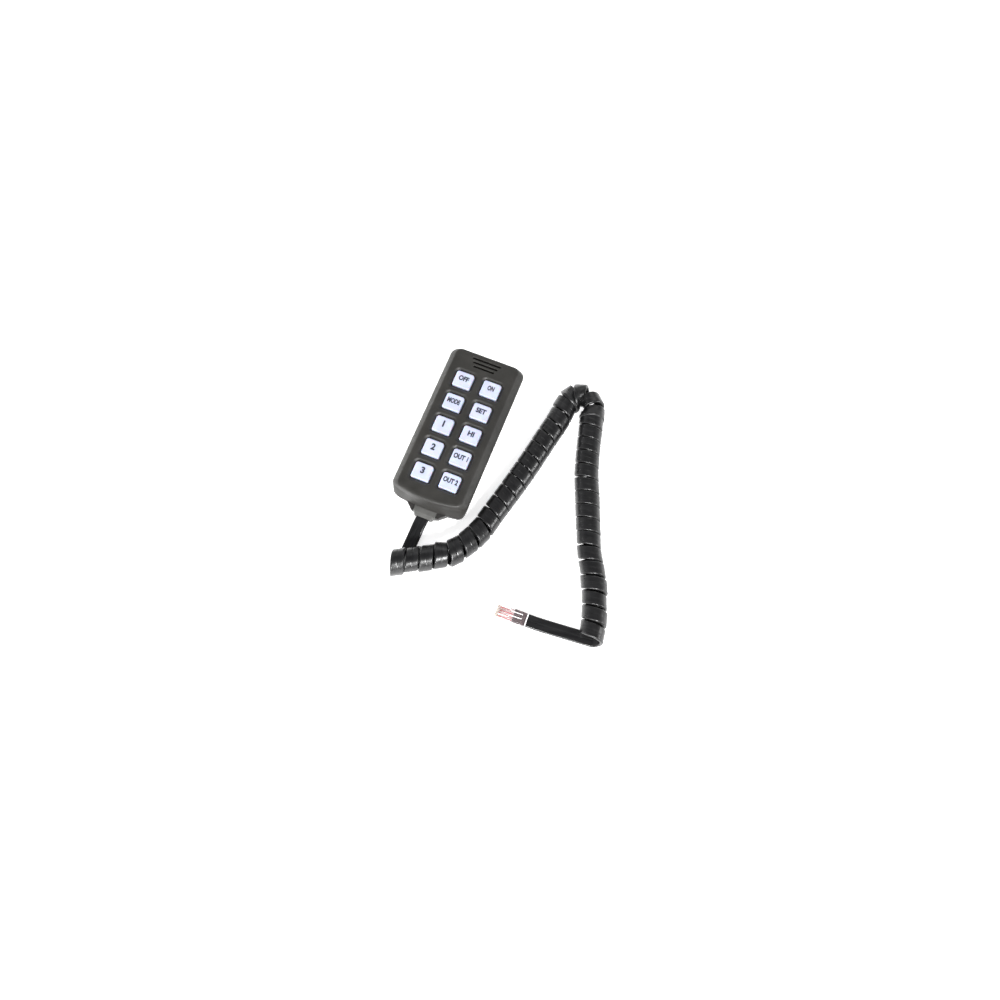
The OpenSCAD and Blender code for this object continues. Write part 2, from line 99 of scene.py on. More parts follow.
def finish(name, colour, roughness, **sockets):
    """A new material on the principled shader, and its tree and shader."""
    mat = bpy.data.materials.new(name)
    mat.use_nodes = True
    tree = mat.node_tree
    shader = next(n for n in tree.nodes if n.type == "BSDF_PRINCIPLED")
    shader.inputs["Base Color"].default_value = (*colour, 1)
    shader.inputs["Roughness"].default_value = roughness
    for key, value in sockets.items():
        shader.inputs[key.replace("_", " ")].default_value = value
    return mat, tree, shader


def place(tree, stretch=(1, 1, 1), uv=None):
    """Texture coordinates in metres: the object's own, or those of a UV map."""
    mapping = tree.nodes.new("ShaderNodeMapping")
    mapping.inputs["Scale"].default_value = stretch
    if uv:
        source = tree.nodes.new("ShaderNodeUVMap")
        source.uv_map = uv
        tree.links.new(source.outputs["UV"], mapping.inputs["Vector"])
    else:
        source = tree.nodes.new("ShaderNodeTexCoord")
        tree.links.new(source.outputs["Object"], mapping.inputs["Vector"])
    return mapping.outputs["Vector"]


def mottled(tree, shader, dark, light, size, where=None):
    """Colour that wanders between two shades over patches of a size."""
    cloud = node(tree, "ShaderNodeTexNoise", Scale=1 / size, Detail=3)
    ramp = tree.nodes.new("ShaderNodeValToRGB")
    for stop, position, colour in zip(ramp.color_ramp.elements, (0.35, 0.68), (dark, light)):
        stop.position = position
        stop.color = (*colour, 1)
    tree.links.new(where or place(tree), cloud.inputs["Vector"])
    tree.links.new(cloud.outputs["Fac"], ramp.inputs["Fac"])
    tree.links.new(ramp.outputs["Color"], shader.inputs["Base Color"])


def uneven_gloss(tree, shader, low, high, size, where=None):
    """Roughness that wanders between two values over patches of a size."""
    cloud = node(tree, "ShaderNodeTexNoise", Scale=1 / size, Detail=4)
    spread = node(tree, "ShaderNodeMapRange", From_Min=0.3, From_Max=0.7, To_Min=low, To_Max=high)
    tree.links.new(where or place(tree), cloud.inputs["Vector"])
    tree.links.new(cloud.outputs["Fac"], spread.inputs["Value"])
    tree.links.new(spread.outputs["Result"], shader.inputs["Roughness"])


def grained(tree, shader, size, depth, where=None):
    """A fine grain in the surface: the size of its lumps and how deep they are."""
    cloud = node(tree, "ShaderNodeTexNoise", Scale=1 / size, Detail=2)
    bump = node(tree, "ShaderNodeBump", Strength=1, Distance=depth)
    tree.links.new(where or place(tree), cloud.inputs["Vector"])
    tree.links.new(cloud.outputs["Fac"], bump.inputs["Height"])
    tree.links.new(bump.outputs["Normal"], shader.inputs["Normal"])


def plastic(name, dark, light, roughness, grain=0.35 * mm, depth=0.03 * mm, patch=9 * mm, **sockets):
    """Plastic or rubber in two shades, with uneven gloss and a fine grain."""
    mat, tree, shader = finish(name, light, roughness, **sockets)
    mottled(tree, shader, dark, light, patch)
    uneven_gloss(tree, shader, roughness - 0.05, roughness + 0.07, patch / 3)
    grained(tree, shader, grain, depth)
    return mat


def metal(name, colour, roughness, scratch=0.25 * mm):
    """Bare metal with fine scratches along X."""
    mat, tree, shader = finish(name, colour, roughness, Metallic=1)
    mottled(tree, shader, tuple(0.82 * c for c in colour), colour, 1.5 * mm)
    uneven_gloss(tree, shader, roughness - 0.06, roughness + 0.12, scratch, place(tree, (0.15, 1, 1)))
    grained(tree, shader, scratch, 0.004 * mm, where=place(tree, (0.12, 1, 1)))
    return mat


def case_plastic(name, dark, light):
    """Moulded ABS with a spark-eroded texture."""
    return plastic(name, dark, light, 0.5, grain=0.28 * mm, depth=0.035 * mm, patch=14 * mm)


def key_plastic():
    """Pale translucent caps that show a little of the light under them."""
    mat, tree, shader = finish("key_cap", (0.405, 0.43, 0.555), 0.34, Subsurface_Weight=0.2,
                               Subsurface_Scale=1.2 * mm)
    mottled(tree, shader, (0.38, 0.405, 0.54), (0.425, 0.45, 0.565), 5 * mm)
    uneven_gloss(tree, shader, 0.3, 0.42, 2 * mm)
    grained(tree, shader, 0.15 * mm, 0.006 * mm)
    return mat


def cord_jacket():
    """Glossy black PVC with extrusion lines along it."""
    mat, tree, shader = finish("cord_jacket", (0.006, 0.006, 0.006), 0.3)
    mottled(tree, shader, (0.004, 0.004, 0.0045), (0.009, 0.009, 0.0095), 3 * mm,
            place(tree, (1, 0.2, 1), "ribbon"))
    uneven_gloss(tree, shader, 0.25, 0.36, 2.5 * mm, place(tree, (1, 0.15, 1), "ribbon"))
    grained(tree, shader, 0.5 * mm, 0.006 * mm, where=place(tree, (1, 0.06, 1), "ribbon"))
    return mat


def clear_plastic():
    """Clear polycarbonate: mostly see-through, with a little milkiness that shows where it is thick."""
    mat, tree, shader = finish("plug_clear", (0.42, 0.33, 0.34), 0.08, Alpha=0.1, IOR=1.5)
    mottled(tree, shader, (0.37, 0.28, 0.29), (0.45, 0.36, 0.37), 4 * mm)
    uneven_gloss(tree, shader, 0.05, 0.14, 1.5 * mm)
    grained(tree, shader, 1.5 * mm, 0.004 * mm)
    return mat


def painted_edge_highlight():
    """Painted highlight: near-white, mostly opaque colour on the clear plastic's edges, standing in for the
    light that gathers there.
    """
    mat, tree, shader = finish("plug_edge_painted_highlight", (0.97, 0.95, 0.955), 0.15, Alpha=0.8)
    mottled(tree, shader, (0.93, 0.9, 0.91), (0.99, 0.97, 0.975), 2 * mm)
    uneven_gloss(tree, shader, 0.1, 0.2, 1 * mm)
    return mat


def ink():
    """Printed dark grey ink, slightly worn."""
    mat, tree, shader = finish("legend_ink", (0.02, 0.02, 0.035), 0.5)
    mottled(tree, shader, (0.014, 0.014, 0.026), (0.03, 0.03, 0.045), 0.6 * mm)
    grained(tree, shader, 0.1 * mm, 0.004 * mm)
    return mat


def board_mask():
    """Green solder mask with fine tracks under it."""
    mat, tree, shader = finish("board_mask", (0.02, 0.16, 0.06), 0.3, Coat_Weight=0.4)
    brick = node(tree, "ShaderNodeTexBrick", Scale=1 / (9 * mm), Mortar_Size=0.03,
                 Color1=(0.015, 0.15, 0.055, 1), Color2=(0.02, 0.18, 0.07, 1), Mortar=(0.05, 0.3, 0.12, 1))
    tree.links.new(place(tree), brick.inputs["Vector"])
    tree.links.new(brick.outputs["Color"], shader.inputs["Base Color"])
    grained(tree, shader, 0.2 * mm, 0.008 * mm)
    return mat


def cloth_screen():
    """Black woven cloth behind the grille."""
    mat, tree, shader = finish("screen_cloth", (0.012, 0.012, 0.012), 0.85, Sheen_Weight=0.3)
    weave = node(tree, "ShaderNodeTexChecker", Scale=1 / (0.35 * mm), Color1=(0.02, 0.02, 0.02, 1),
                 Color2=(0.006, 0.006, 0.006, 1))
    tree.links.new(place(tree), weave.inputs["Vector"])
    tree.links.new(weave.outputs["Color"], shader.inputs["Base Color"])
    grained(tree, shader, 0.3 * mm, 0.05 * mm)
    return mat


def make_materials():
    """Every material but the conductors', by a short name."""
    return dict(
        front=case_plastic("case_front", (0.014, 0.0135, 0.012), (0.021, 0.020, 0.018)),
        back=case_plastic("case_back", (0.013, 0.0125, 0.0115), (0.019, 0.018, 0.017)),
        # edge is a painted highlight for the clear plug's edges, rims and shoulders
        key=key_plastic(), cord=cord_jacket(), clear=clear_plastic(), edge=painted_edge_highlight(), ink=ink(),
        board=board_mask(), screen=cloth_screen(),
        relief=plastic("relief_pvc", (0.060, 0.060, 0.057), (0.082, 0.082, 0.078), 0.45, depth=0.02 * mm),
        switch=plastic("switch_body", (0.012, 0.012, 0.013), (0.02, 0.02, 0.021), 0.45),
        plunger=plastic("switch_plunger", (0.02, 0.02, 0.022), (0.035, 0.035, 0.037), 0.4),
        lens=plastic("led_lens", (0.8, 0.75, 0.5), (0.9, 0.87, 0.7), 0.2, Transmission_Weight=0.3),
        chip=plastic("chip_body", (0.012, 0.012, 0.012), (0.022, 0.022, 0.022), 0.6, grain=0.12 * mm),
        component=plastic("component_body", (0.05, 0.035, 0.025), (0.2, 0.17, 0.13), 0.4, patch=6 * mm),
        boot=plastic("boot_rubber", (0.01, 0.01, 0.01), (0.018, 0.018, 0.018), 0.75, grain=0.5 * mm),
        header=plastic("header_nylon", (0.72, 0.67, 0.52), (0.8, 0.76, 0.62), 0.45),
        connector=plastic("connector_nylon", (0.78, 0.77, 0.72), (0.86, 0.85, 0.82), 0.45),
        wires=plastic("wire_pvc", (0.35, 0.03, 0.03), (0.5, 0.05, 0.05), 0.35),
        capsule=metal("capsule_metal", (0.7, 0.7, 0.71), 0.3),
        screw=metal("zinc_screw", (0.62, 0.62, 0.63), 0.35),
        board_screw=metal("small_screw", (0.55, 0.55, 0.57), 0.4),
        label=metal("label_foil", (0.72, 0.73, 0.74), 0.42),
        gold=metal("contact_gold", (0.9, 0.62, 0.22), 0.22),
    )


# ---- Mesh helpers ----

def piece(name, points, faces, mat, sharp=34):
    """A mesh object with outward normals, smooth but for edges sharper than an angle in degrees."""
    mesh = bpy.data.meshes.new(name)
    mesh.from_pydata([tuple(p) for p in points], [], faces)
    bm = bmesh.new()
    bm.from_mesh(mesh)
    bmesh.ops.recalc_face_normals(bm, faces=bm.faces)
    bm.to_mesh(mesh)
    bm.free()
    obj = bpy.data.objects.new(name, mesh)
    bpy.context.scene.collection.objects.link(obj)
    obj.data.materials.append(mat)
    shade(obj, sharp)
    return obj


def shade(obj, sharp=34):
    """Smooth shading but for edges sharper than an angle in degrees."""
    obj.data.shade_smooth()
    obj.data.set_sharp_from_angle(angle=math.radians(sharp))


def weighted(obj):
    """Shading that keeps the big flat faces flat."""
    modifier = obj.modifiers.new("weighted", "WEIGHTED_NORMAL")
    modifier.keep_sharp = True
    modifier.weight = 90


def stack(rings):
    """Points and faces of a closed surface through rings of the same number of points."""
    n = len(rings[0])
    faces = [list(range(n))[::-1], [(len(rings) - 1) * n + k for k in range(n)]]
    for i in range(len(rings) - 1):
        for k in range(n):
            a, b = i * n + k, i * n + (k + 1) % n
            faces.append([a, b, b + n, a + n])
    return np.vstack(rings), faces


def joined(solids):
    """Several lots of points and faces as one."""
    points, faces, base = [], [], 0
    for p, f in solids:
        points.append(p)
        faces += [[base + i for i in face] for face in f]
        base += len(p)
    return np.vstack(points), faces


def carve(obj, solids, how="DIFFERENCE", sharp=34, mat=None):
    """Cuts solids out of a piece, or joins them to it, in a material of their own if one is given."""
    tool = piece("tool", *joined(solids), mat or obj.data.materials[0])
    modifier = obj.modifiers.new("carve", "BOOLEAN")
    modifier.object, modifier.operation, modifier.solver = tool, how, "EXACT"
    modifier.material_mode = "TRANSFER" if mat else "INDEX"
    made = bpy.data.meshes.new_from_object(obj.evaluated_get(bpy.context.evaluated_depsgraph_get()))
    obj.modifiers.clear()
    obj.data = made
    bpy.data.objects.remove(tool)
    shade(obj, sharp)


def arc(centre, r, start, end, steps):
    """Points on an arc between two angles."""
    a = np.linspace(start, end, steps + 1)
    return np.stack([centre[0] + r * np.cos(a), centre[1] + r * np.sin(a)], 1)


def round_rect(w, l, r, steps=8, foot=None):
    """Outline of a rectangle with round corners about the origin; foot is the radius of the lower two."""
    q, foot = math.pi / 2, foot or r
    corners = [(1, 1, r), (-1, 1, r), (-1, -1, foot), (1, -1, foot)]
    return np.vstack([arc((sx * (w / 2 - c), sy * (l / 2 - c)), c, k * q, (k + 1) * q, steps)
                      for k, (sx, sy, c) in enumerate(corners)])


def circle(r, n=36):
    """Outline of a circle that starts where round_rect's outline does, with as many points."""
    a = np.linspace(0, TURN, n, endpoint=False)
    return r * np.stack([np.cos(a), np.sin(a)], 1)


def level(outline, z, x=0.0, y=0.0):
    """An outline laid at a height and moved to a place."""
    return np.column_stack([outline[:, 0] + x, outline[:, 1] + y, np.full(len(outline), z)])


def across_y(outline, y, z=0.0):
    """An outline stood up across Y and raised to a height."""
    return np.column_stack([outline[:, 0], np.full(len(outline), y), outline[:, 1] + z])


def across_x(outline, x, y=0.0, z=0.0):
    """An outline stood up across X and moved to a place."""
    return np.column_stack([np.full(len(outline), x), outline[:, 0] + y, outline[:, 1] + z])


def cylinder(x, y, r, z0, z1):
    """A round tool between two heights."""
    return stack([level(circle(r), z, x, y) for z in (z0, z1)])


def flared_cylinder(x, y, r, z0, z1, flare, brim=0.5 * mm):
    """A round tool that is wider at its lower end, over the height of its brim, and narrows by a chamfer."""
    rings = [(r + flare, z0), (r + flare, z0 + brim), (r, z0 + brim + flare), (r, z1)]
    return stack([level(circle(a), z, x, y) for a, z in rings])


def chaikin(rows, passes=3):
    """A list of rows with its corners rounded off, its ends kept."""
    rows = np.array(rows, float)
    for _ in range(passes):
        pairs = np.stack([0.75 * rows[:-1] + 0.25 * rows[1:], 0.25 * rows[:-1] + 0.75 * rows[1:]], 1)
        rows = np.vstack([rows[:1], pairs.reshape(-1, rows.shape[1]), rows[-1:]])
    return rows


def unit(v):
    """Vectors of length one."""
    return v / np.linalg.norm(v, axis=-1, keepdims=True)


def lengths(line):
    """The distance along a line at each of its points."""
    return np.concatenate([[0], np.cumsum(np.linalg.norm(np.diff(line, axis=0), axis=1))])


# ---- Cord ----

LEAD_W, LEAD_T = 9 * mm, 2.5 * mm
COIL_R = 8.2 * mm              # outside radius of the curled stretch
TURN_R = COIL_R - LEAD_T / 2   # radius of the middle of a turn
STATIONS = 26                  # sections of the cord in each turn
BEND_R = 10.3 * mm             # radius at which the coil folds over
APEX_HEADING = math.radians(-18)
PITCH = 9.35 * mm
GENTLE_R = 30 * mm             # bends wider than this open the turns out, and tighter ones crowd them
CROWDING = 0.6                 # how much turns close up in a tight bend
SLACK, SLACK_L = 0.06, 60 * mm           # the last turns are this share further apart, over this length
OPENING, OPENING_HALF = 0.95, 3.6 * mm   # the same for the turns about the apex
# Where turns are loose: distance along the axis, half length, how much larger their radius is
LOOSE_TURNS = np.array([(0, 8, 0.8), (21, 8, 0.9), (39, 8, 1.0), (324, 9, 0.7), (347, 9, 0.6)]) * mm
UNEVEN = 0.3 * mm              # how far the radius wanders from turn to turn
PRESSED = 0.14                 # share of the radius that turns lose at the inner side of the fold
RIDE_H, RIDE_AT, RIDE_HALF = 2.75 * mm, 7.6 * mm, 9.5 * mm    # where turns ride up over the lead
FALLEN = np.array([1.0, -2.8, 0]) * mm       # how far one turn has slipped past the fold
FALLEN_AT, FALLEN_HALF = 8.5 * mm, 8 * mm    # where it is, from the apex
ROOM = 1.02                    # the room that a turn needs, as a share of its width or thickness
LEAST_Z = 0.05 * mm

LEAD_PTS = [(0, -0.0515, 0.0055), (0, -0.059, 0.0055), (-0.0004, -0.064, 0.0052), (-0.0009, -0.069, 0.004),
            (-0.0012, -0.074, 0.0024), (-0.0014, -0.079, 0.0015), (-0.0015, -0.084, 0.0013),
            (-0.0015, -0.089, 0.0013)]
COIL_PTS = [(-0.0065, -0.0989), (0.0042, -0.0926), (0.015, -0.0862), (0.0222, -0.0822), (0.0283, -0.0766),
            (0.0343, -0.068), (0.0387, -0.059), (0.0431, -0.042), (0.0482, -0.021), (0.0528, 0),
            (0.0565, 0.0198), (0.0598, 0.0376), (0.0608, 0.0485), (0.0624, 0.0551), (0.0665, 0.0587),
            (0.0715, 0.0597), (0.0763, 0.0572), (0.0797, 0.0516), (0.081, 0.0456), (0.083, 0.038),
            (0.087, 0.022), (0.092, 0.0055), (0.0983, -0.0099), (0.1046, -0.0257), (0.1081, -0.0342),
            (0.1114, -0.0423), (0.1156, -0.05), (0.1197, -0.0574), (0.123, -0.0648), (0.1262, -0.0728),
            (0.129, -0.0809), (0.1312, -0.0889), (0.1328, -0.0971)]
TAIL_PTS = [(0.13, -0.0969, 0.0013), (0.12, -0.0978, 0.0013), (0.11, -0.0987, 0.0013),
            (0.101, -0.0995, 0.0014), (0.095, -0.1, 0.0022), (0.09, -0.1003, 0.003),
            (0.086, -0.1004, 0.0031), (0.0805, -0.1006, 0.0031)]


def hermite(a, slope_a, b, slope_b, t):
    """Points from a to b that leave and arrive along the slopes."""
    t = t[:, None]
    return ((2 * t**3 - 3 * t**2 + 1) * a + (t**3 - 2 * t**2 + t) * slope_a
            + (3 * t**2 - 2 * t**3) * b + (t**3 - t**2) * slope_b)


def respaced(line, step):
    """The line again, with points about step apart."""
    along = lengths(line)
    at = np.linspace(0, along[-1], round(along[-1] / step) + 1)
    return np.stack([np.interp(at, along, line[:, k]) for k in range(line.shape[1])], 1)


def curve_through(points, step):
    """Points about step apart on a smooth curve through the given ones."""
    p = np.array(points, float)
    h = np.linalg.norm(np.diff(p, axis=0), axis=1)[:, None]
    slope = np.diff(p, axis=0) / h
    inner = (slope[:-1] * h[1:] + slope[1:] * h[:-1]) / (h[:-1] + h[1:])
    m = np.vstack([slope[:1], inner, slope[-1:]])
    t = np.linspace(0, 1, 40, endpoint=False)
    spans = [hermite(p[i], m[i] * h[i], p[i + 1], m[i + 1] * h[i], t) for i in range(len(h))]
    return respaced(np.vstack([*spans, p[-1:]]), step)


def blurred(values, width, step):
    """A running average over about a width, twice, with the ends held."""
    n = max(1, round(width / step / 2))
    kernel = np.ones(2 * n + 1) / (2 * n + 1)
    out = np.array(values, float)
    for _ in range(2):
        ends = np.concatenate([np.full(n, out[0]), out, np.full(n, out[-1])])
        out = np.convolve(ends, kernel, "valid")
    return out


def hump(x, centre, half):
    """1 at the centre and 0 beyond a half width, smoothly."""
    return np.where(np.abs(x - centre) < half, np.cos((x - centre) / half * math.pi / 2) ** 2, 0.0)


def wander(at, size, row):
    """Smooth noise at distances along the axis: the length of its waves, and which row of it."""
    return np.array([noise.noise(Vector((a / size, *row))) for a in at])


def coil_axis(step=0.25 * mm):
    """The coil's axis: distance along it, points, heading and how sharply it turns to the right."""
    line = curve_through(COIL_PTS, step)
    line = np.stack([blurred(line[:, k], 3 * mm, step) for k in (0, 1)], 1)
    line[0], line[-1] = COIL_PTS[0], COIL_PTS[-1]
    line = respaced(line, step)
    s = np.arange(len(line)) * np.linalg.norm(np.diff(line, axis=0), axis=1).mean()
    run = unit(np.gradient(line, axis=0))
    heading = blurred(np.unwrap(np.arctan2(run[:, 1], run[:, 0])), 2 * mm, step)
    return s, line, heading, blurred(-np.gradient(heading, s), 3 * mm, step)


def apex_at(s, heading):
    """Distance along the axis to the apex of the fold, which is in its middle third."""
    middle = slice(len(s) // 3, len(s) * 2 // 3)
    return float(np.interp(-APEX_HEADING, -heading[middle], s[middle]))


def wound(s, bend, apex):
    """The cord's angle round the axis at each distance: lowest at both ends, innermost at the apex."""
    gentle = np.exp(-(bend * GENTLE_R) ** 2)
    lean = np.abs(bend) * COIL_R
    pitch = PITCH * (1 + SLACK * (s > s[-1] - SLACK_L))
    pitch = pitch * (1 + lean * gentle) / (1 + CROWDING * lean * (1 - gentle))
    pitch *= 1 + OPENING * np.exp(-((s - apex) / OPENING_HALF) ** 2)
    turned = np.concatenate([[0], np.cumsum(TURN * np.diff(s) / pitch[1:])])
    before = float(np.interp(apex, s, turned))
    lowest = -TURN / 4
    left = round((before + lowest) / TURN) * TURN
    right = round((turned[-1] - before - lowest) / TURN) * TURN + lowest
    return np.where(turned < before, lowest + turned * (left - lowest) / before,
                    left + (turned - before) * right / (turned[-1] - before))


def coil_stations():
    """Places, outward normals and tilts of the cord's sections in the curled stretch."""
    s, line, heading, bend = coil_axis()
    apex = apex_at(s, heading)
    angle = wound(s, bend, apex)
    last = angle[-1] - TURN * 0.1
    th = np.linspace(0, last, round(last / TURN * STATIONS) + 1)
    at = np.interp(th, angle, s)
    x, y, head, k = (np.interp(at, s, v) for v in (line[:, 0], line[:, 1], heading, bend))
    side = np.stack([np.sin(head), -np.cos(head), 0 * head], 1)      # to the right of the axis
    up = np.array([0, 0, 1.0])
    out = np.cos(th)[:, None] * side + np.sin(th)[:, None] * up
    r = TURN_R + sum(more * hump(at, where, half) for where, half, more in LOOSE_TURNS)
    r = r + UNEVEN * wander(at, 31 * mm, (3.7, 1.1))
    fold = np.clip(k * BEND_R, 0, 1)
    inward = np.clip(np.cos(th), 0, 1)
    r = r * (1 - PRESSED * fold * inward)
    height = COIL_R + RIDE_H * hump(at, RIDE_AT, RIDE_HALF) + (r - TURN_R) * (np.sin(th) < 0) * -np.sin(th)
    centre = np.stack([x, y, np.maximum(height, COIL_R)], 1)
    centre += hump(at, apex + FALLEN_AT, FALLEN_HALF)[:, None] * FALLEN
    # where turns crowd, each tucks under the one that is nearer the apex
    spacing = np.gradient(at, th) * TURN * (1 - k * r * np.cos(th))
    crowd = np.clip((LEAD_W * ROOM - spacing) / (1.6 * mm), 0, 1)
    tilt = np.arcsin(np.clip(ROOM * LEAD_T / np.maximum(spacing, LEAD_T), 0, 0.94)) * crowd
    tilt *= np.tanh((apex - at) / (2.2 * mm))
    tilt = tilt + 0.05 * wander(at, 23 * mm, (9.1, 4.2))
    tilt *= 1 - 0.85 * np.clip(-np.sin(th), 0, 1) ** 2               # flatter where it rests
    return centre + r[:, None] * out, out, tilt


def join(a, b, normal_a, normal_b, reach, steps):
    """Places and normals between the end of one stretch and the start of the next."""
    t = np.linspace(0, 1, steps + 2)[1:-1]
    run_a, run_b = unit(a[-1] - a[-2]), unit(b[1] - b[0])
    line = hermite(a[-1], run_a * reach, b[0], run_b * reach, t)
    swing = (t * t * (3 - 2 * t))[:, None]
    return line, unit(normal_a * (1 - swing) + normal_b * swing + 1e-9)


def cord_stations():
    """Places, normals and tilts of all the cord's sections, from inside the relief to inside the plug."""
    lead = curve_through(LEAD_PTS, 1.5 * mm)
    tail = curve_through(TAIL_PTS, 2.0 * mm)
    coil, out, tilt = coil_stations()
    down = np.array([0, 0, -1.0])
    start, start_out = join(lead, coil, down, out[0], 24 * mm, 14)
    end, end_out = join(coil, tail, out[-1], down, 13 * mm, 8)
    line = np.vstack([lead, start, coil, end, tail])
    flat_lead, flat_tail = (np.tile(down, (len(part), 1)) for part in (lead, tail))
    normal = np.vstack([flat_lead, start_out, out, end_out, flat_tail])
    tilt = np.concatenate([np.zeros(len(lead) + len(start)), tilt, np.zeros(len(end) + len(tail))])
    return line, normal, tilt


def cord_section(w=LEAD_W, t=LEAD_T, dips=10, dip=0.02 * mm, groove=0.12 * mm, edge=0.95 * mm):
    """Section of the flat cord: rounded edges, faint dips along its faces and a groove down its middle."""
    flat = w / 2 - edge
    x = np.linspace(flat, -flat, 2 * dips + 1)
    face = t / 2 - dip * (np.arange(len(x)) % 2) - groove * (np.abs(x) < 0.3 * mm)
    a = np.linspace(math.pi / 2, 3 * math.pi / 2, 8)[1:-1]
    side = np.stack([-flat + edge * np.cos(a), (t / 2) * np.sin(a)], 1)
    half = np.vstack([np.stack([x, face], 1), side])
    return np.vstack([half, -half])


def map_ribbon(cord, section, line):
    """A UV map in metres: round the cord's section, and along its middle line."""
    uv = cord.data.uv_layers.new(name="ribbon")
    corner = np.zeros(len(cord.data.loops), int)
    cord.data.loops.foreach_get("vertex_index", corner)
    n, girth, along = len(section), lengths(section), lengths(line)
    uv.data.foreach_set("uv", np.stack([girth[corner % n], along[corner // n]], 1).ravel())


def make_cord(mat):
    """The lead as one piece, and its middle line."""
    line, normal, tilt = cord_stations()
    run = unit(np.gradient(line, axis=0))
    normal = unit(normal - (normal * run).sum(1)[:, None] * run)
    across = np.cross(run, normal)
    c, s = np.cos(tilt)[:, None], np.sin(tilt)[:, None]
    across, normal = across * c - normal * s, normal * c + across * s
    section = cord_section()
    rings = np.array([p + section[:, :1] * a + section[:, 1:] * n for p, a, n in zip(line, across, normal)])
    # what would go into the floor is raised, together with the sections next to it
    low = np.clip(LEAST_Z - rings[:, :, 2].min(1), 0, None)
    low = np.max([np.roll(low, k) for k in range(-2, 3)], axis=0)
    low = np.convolve(low, np.ones(5) / 5, "same")
    rings[:, :, 2] += low[:, None]
    line[:, 2] += low
    cord = piece("coiled_lead", *stack(rings), mat, sharp=50)
    map_ribbon(cord, section, line)
    return cord, line


# ---- Case ----

# Radius of the bowed end at the parting line and on the face, and the two heights
BOW_RADII, BOW_HEIGHTS = (130 * mm, 80 * mm), (9 * mm, 16.6 * mm)
WALL, FACE_T = 2.2 * mm, 3.6 * mm
REVEAL = 0.4 * mm              # depth of the groove along the parting line
CORNER_STEPS = 9
SCREW_HEAD_R, WELL_R, HOLE_R = 2.7 * mm, 3.1 * mm, 1.65 * mm
FRONT_POST_R, BACK_POST_R = 3.2 * mm, 3.5 * mm
# Height, side inset, microphone-end inset, lead-end inset, corner radius
BACK_LEVELS = np.array([(0, 4.4, 3, 2.8, 3.8), (0.35, 3.6, 2.2, 2, 4), (1.4, 2.8, 1.5, 1.2, 4.3),
                        (2.8, 2.35, 1.05, 0.75, 4.5), (9, 1.2, 0.4, 0, 4.8)]) * mm
FRONT_LEVELS = np.array([(9, 1.2, 0.4, 0, 4.8), (15.4, 0.15, 0.05, 1.6, 4.8), (17.3, 0.1, 0, 2.05, 4.8),
                         (20.9, 3.6, 0.35, 2.8, 4.5), (21.75, 4.6, 0.9, 3.5, 4.2),
                         (22, 6.2, 2.2, 5, 3.8)]) * mm


def case_ring(row, inset=0.0):
    """The case's outline at one height."""
    z, side, mic, lead, r = row
    hw, y_mic = case_hi.x - side - inset, case_hi.y - mic - inset
    y_lead, r = -case_hi.y + lead + inset, max(r - inset, 2 * mm)
    bow, q = np.interp(z, BOW_HEIGHTS, BOW_RADII), math.pi / 2
    bow_y = y_lead + bow
    corner_y = bow_y - math.sqrt((bow - r) ** 2 - (hw - r) ** 2)
    a = math.atan2(corner_y - bow_y, hw - r)
    outline = [arc((hw - r, y_mic - r), r, 0, q, CORNER_STEPS),
               arc((r - hw, y_mic - r), r, q, 2 * q, CORNER_STEPS),
               arc((r - hw, corner_y), r, 2 * q, 2 * q - a, CORNER_STEPS),
               arc((0, bow_y), bow, -2 * q - a, a, 3 * CORNER_STEPS)[1:-1],
               arc((hw - r, corner_y), r, a, 0, CORNER_STEPS)]
    return level(np.vstack(outline), z)


def rows_between(rows, z0, z1):
    """The rows from one height to another, with the ends worked out between the given ones."""
    def at(z):
        return [z, *[np.interp(z, rows[:, 0], rows[:, k]) for k in range(1, rows.shape[1])]]
    return [at(z0), *[r for r in rows if z0 < r[0] < z1], at(z1)]


KEY_GAP, KEY_PROUD = 0.3 * mm, 0.4 * mm     # round the keys, and how far they stand above the face
FLANGE_OUT, FLANGE_T = 0.8 * mm, 1.0 * mm
KEY_R, KEY_FOOT_R = 1.7 * mm, 0.9 * mm      # corners of the keys at the top and at the foot
POCKET_D, POCKET_RIM = 1.6 * mm, 2.1 * mm
SLOTS, SLOT_L, SLOT_STEP, SLOT_W = 3, 21 * mm, 2.8 * mm, 1.3 * mm
SLOT_PITCH, SLOT_INSET = 2.85 * mm, 4.5 * mm


def key_place(name):
    """Centre, width and length of a key cap at its face, and its top."""
    lo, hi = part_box(f"key_{name}")
    w, l = hi.x - lo.x - 2 * FLANGE_OUT, hi.y - lo.y - 2 * FLANGE_OUT
    return (lo.x + hi.x) / 2, (lo.y + hi.y) / 2, w, l, hi.z


def key_cut(name, ceiling):
    """The hole and sloped pocket of one key, with rounded edges, as a tool."""
    x, y, w, l, _ = key_place(name)
    face = case_hi.z
    bed = face - POCKET_D
    profile = [(0, ceiling - 1 * mm), (0, bed - 0.25 * mm), (0.05 * mm, bed - 0.08 * mm),
               (0.2 * mm, bed + 0.08 * mm), (POCKET_RIM - 0.55 * mm, face - 0.5 * mm),
               (POCKET_RIM - 0.3 * mm, face - 0.32 * mm), (POCKET_RIM, face - 0.13 * mm),
               (POCKET_RIM + 0.35 * mm, face - 0.03 * mm), (POCKET_RIM + 0.8 * mm, face + 0.02 * mm),
               (POCKET_RIM + 0.8 * mm, face + 1 * mm)]
    return stack([level(round_rect(w + 2 * d, l + 2 * d, KEY_R + d, foot=KEY_FOOT_R + d), z, x, y)
                  for d, z in ((d + KEY_GAP, z) for d, z in profile)])


